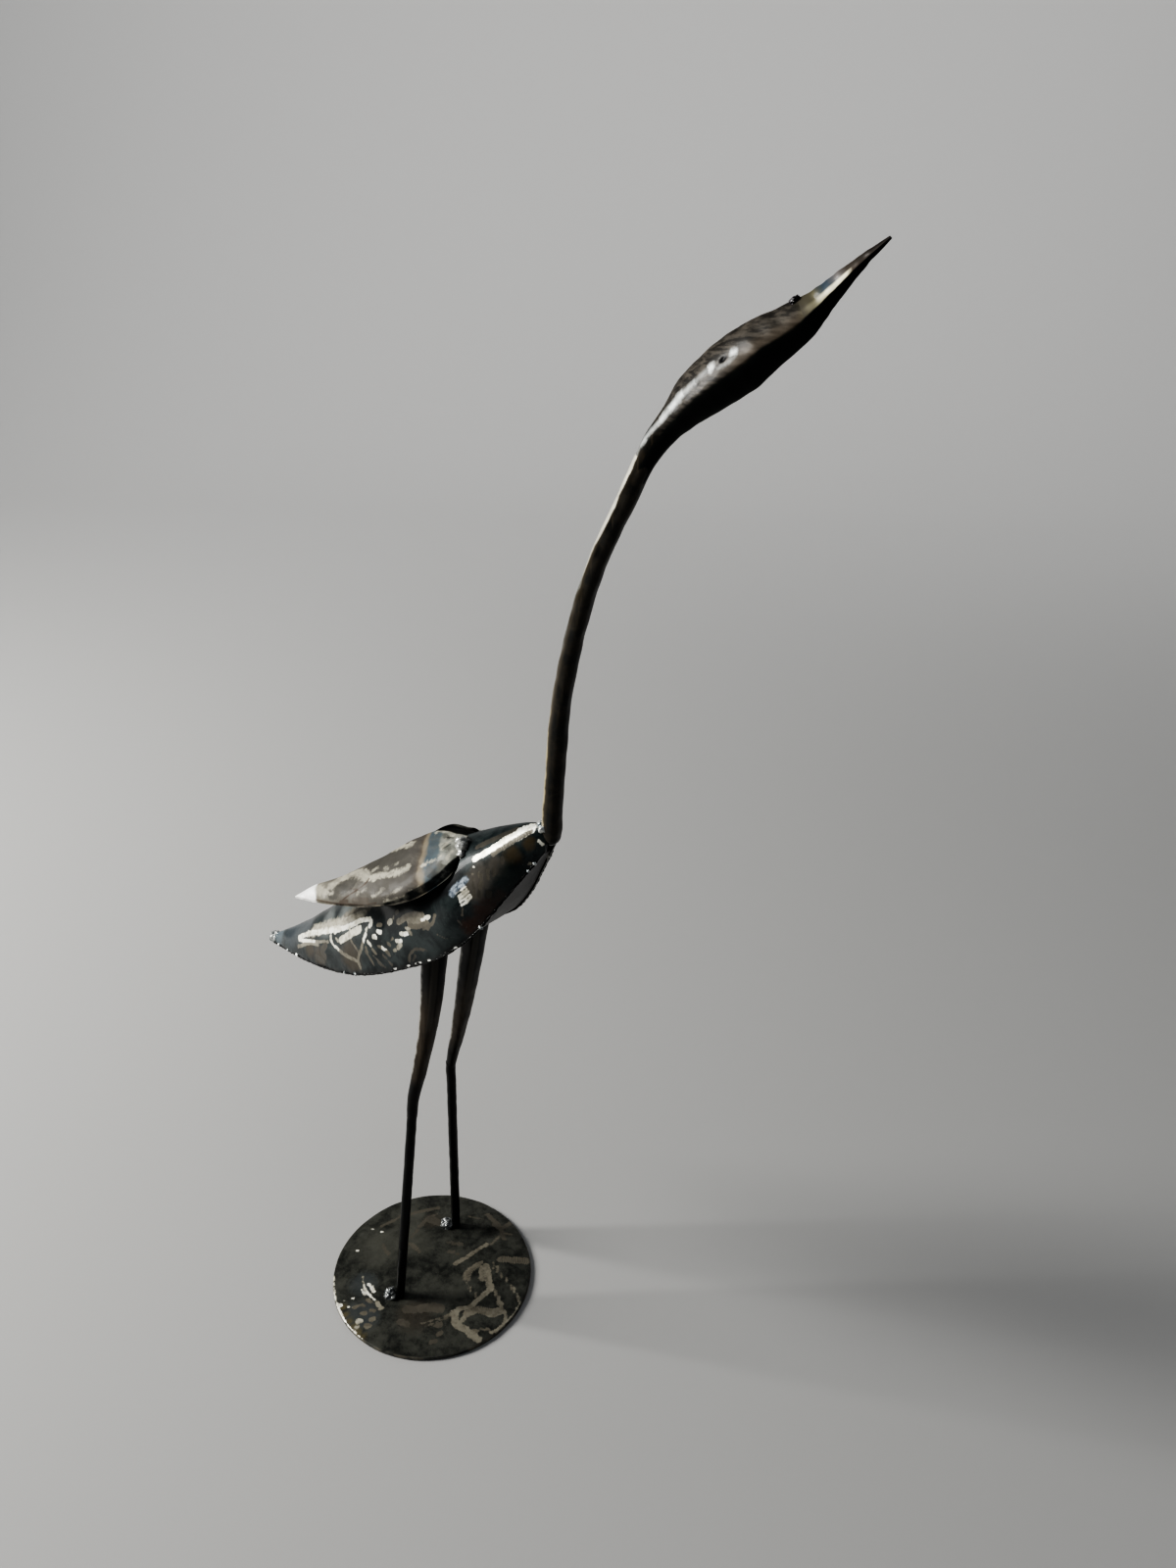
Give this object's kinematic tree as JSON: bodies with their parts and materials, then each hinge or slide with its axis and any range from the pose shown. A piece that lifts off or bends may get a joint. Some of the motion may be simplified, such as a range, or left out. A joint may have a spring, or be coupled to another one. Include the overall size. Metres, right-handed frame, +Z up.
{
  "type": "heron garden statue",
  "caption": "Standing heron welded from sheet steel, rod and tube, neck stretched up and beak raised, on its own round base.",
  "frame": {"origin": "middle of the round base, on its flat underside", "axes": "+X the way the bird faces, +Y to its left, +Z up"},
  "size_m": [0.3434, 0.13, 0.6354],
  "materials": {
    "base_steel": "lacquered steel, near black with lighter brown-grey looping worn bands",
    "rod_steel": "lacquered black rod, satin",
    "thigh_steel": "lacquered dark bronze-brown tube, satin",
    "shell_steel": "lacquered dark teal-black sheet with cream burnished strokes and dabs, gloss",
    "belly_steel": "lacquered plain grey sheet, satin",
    "wing_steel": "lacquered warm grey sheet with blue and tan heat tints and cream streaks",
    "neck_steel": "lacquered black-brown tube with worn brassy edge",
    "head_steel": "lacquered brown-grey streaked sheet, gloss",
    "beak_steel": "lacquered pale brassy steel, dark at the tip"
  },
  "bodies": {
    "root": {"base_disc": "base_steel", "right_shin": "rod_steel", "left_shin": "rod_steel", "right_thigh": "thigh_steel", "left_thigh": "thigh_steel", "body": "shell_steel", "belly_plate": "belly_steel", "right_wing": "wing_steel", "left_wing": "wing_steel", "neck": "neck_steel", "head": "head_steel", "beak": "beak_steel"}
  },
  "joints": []
}
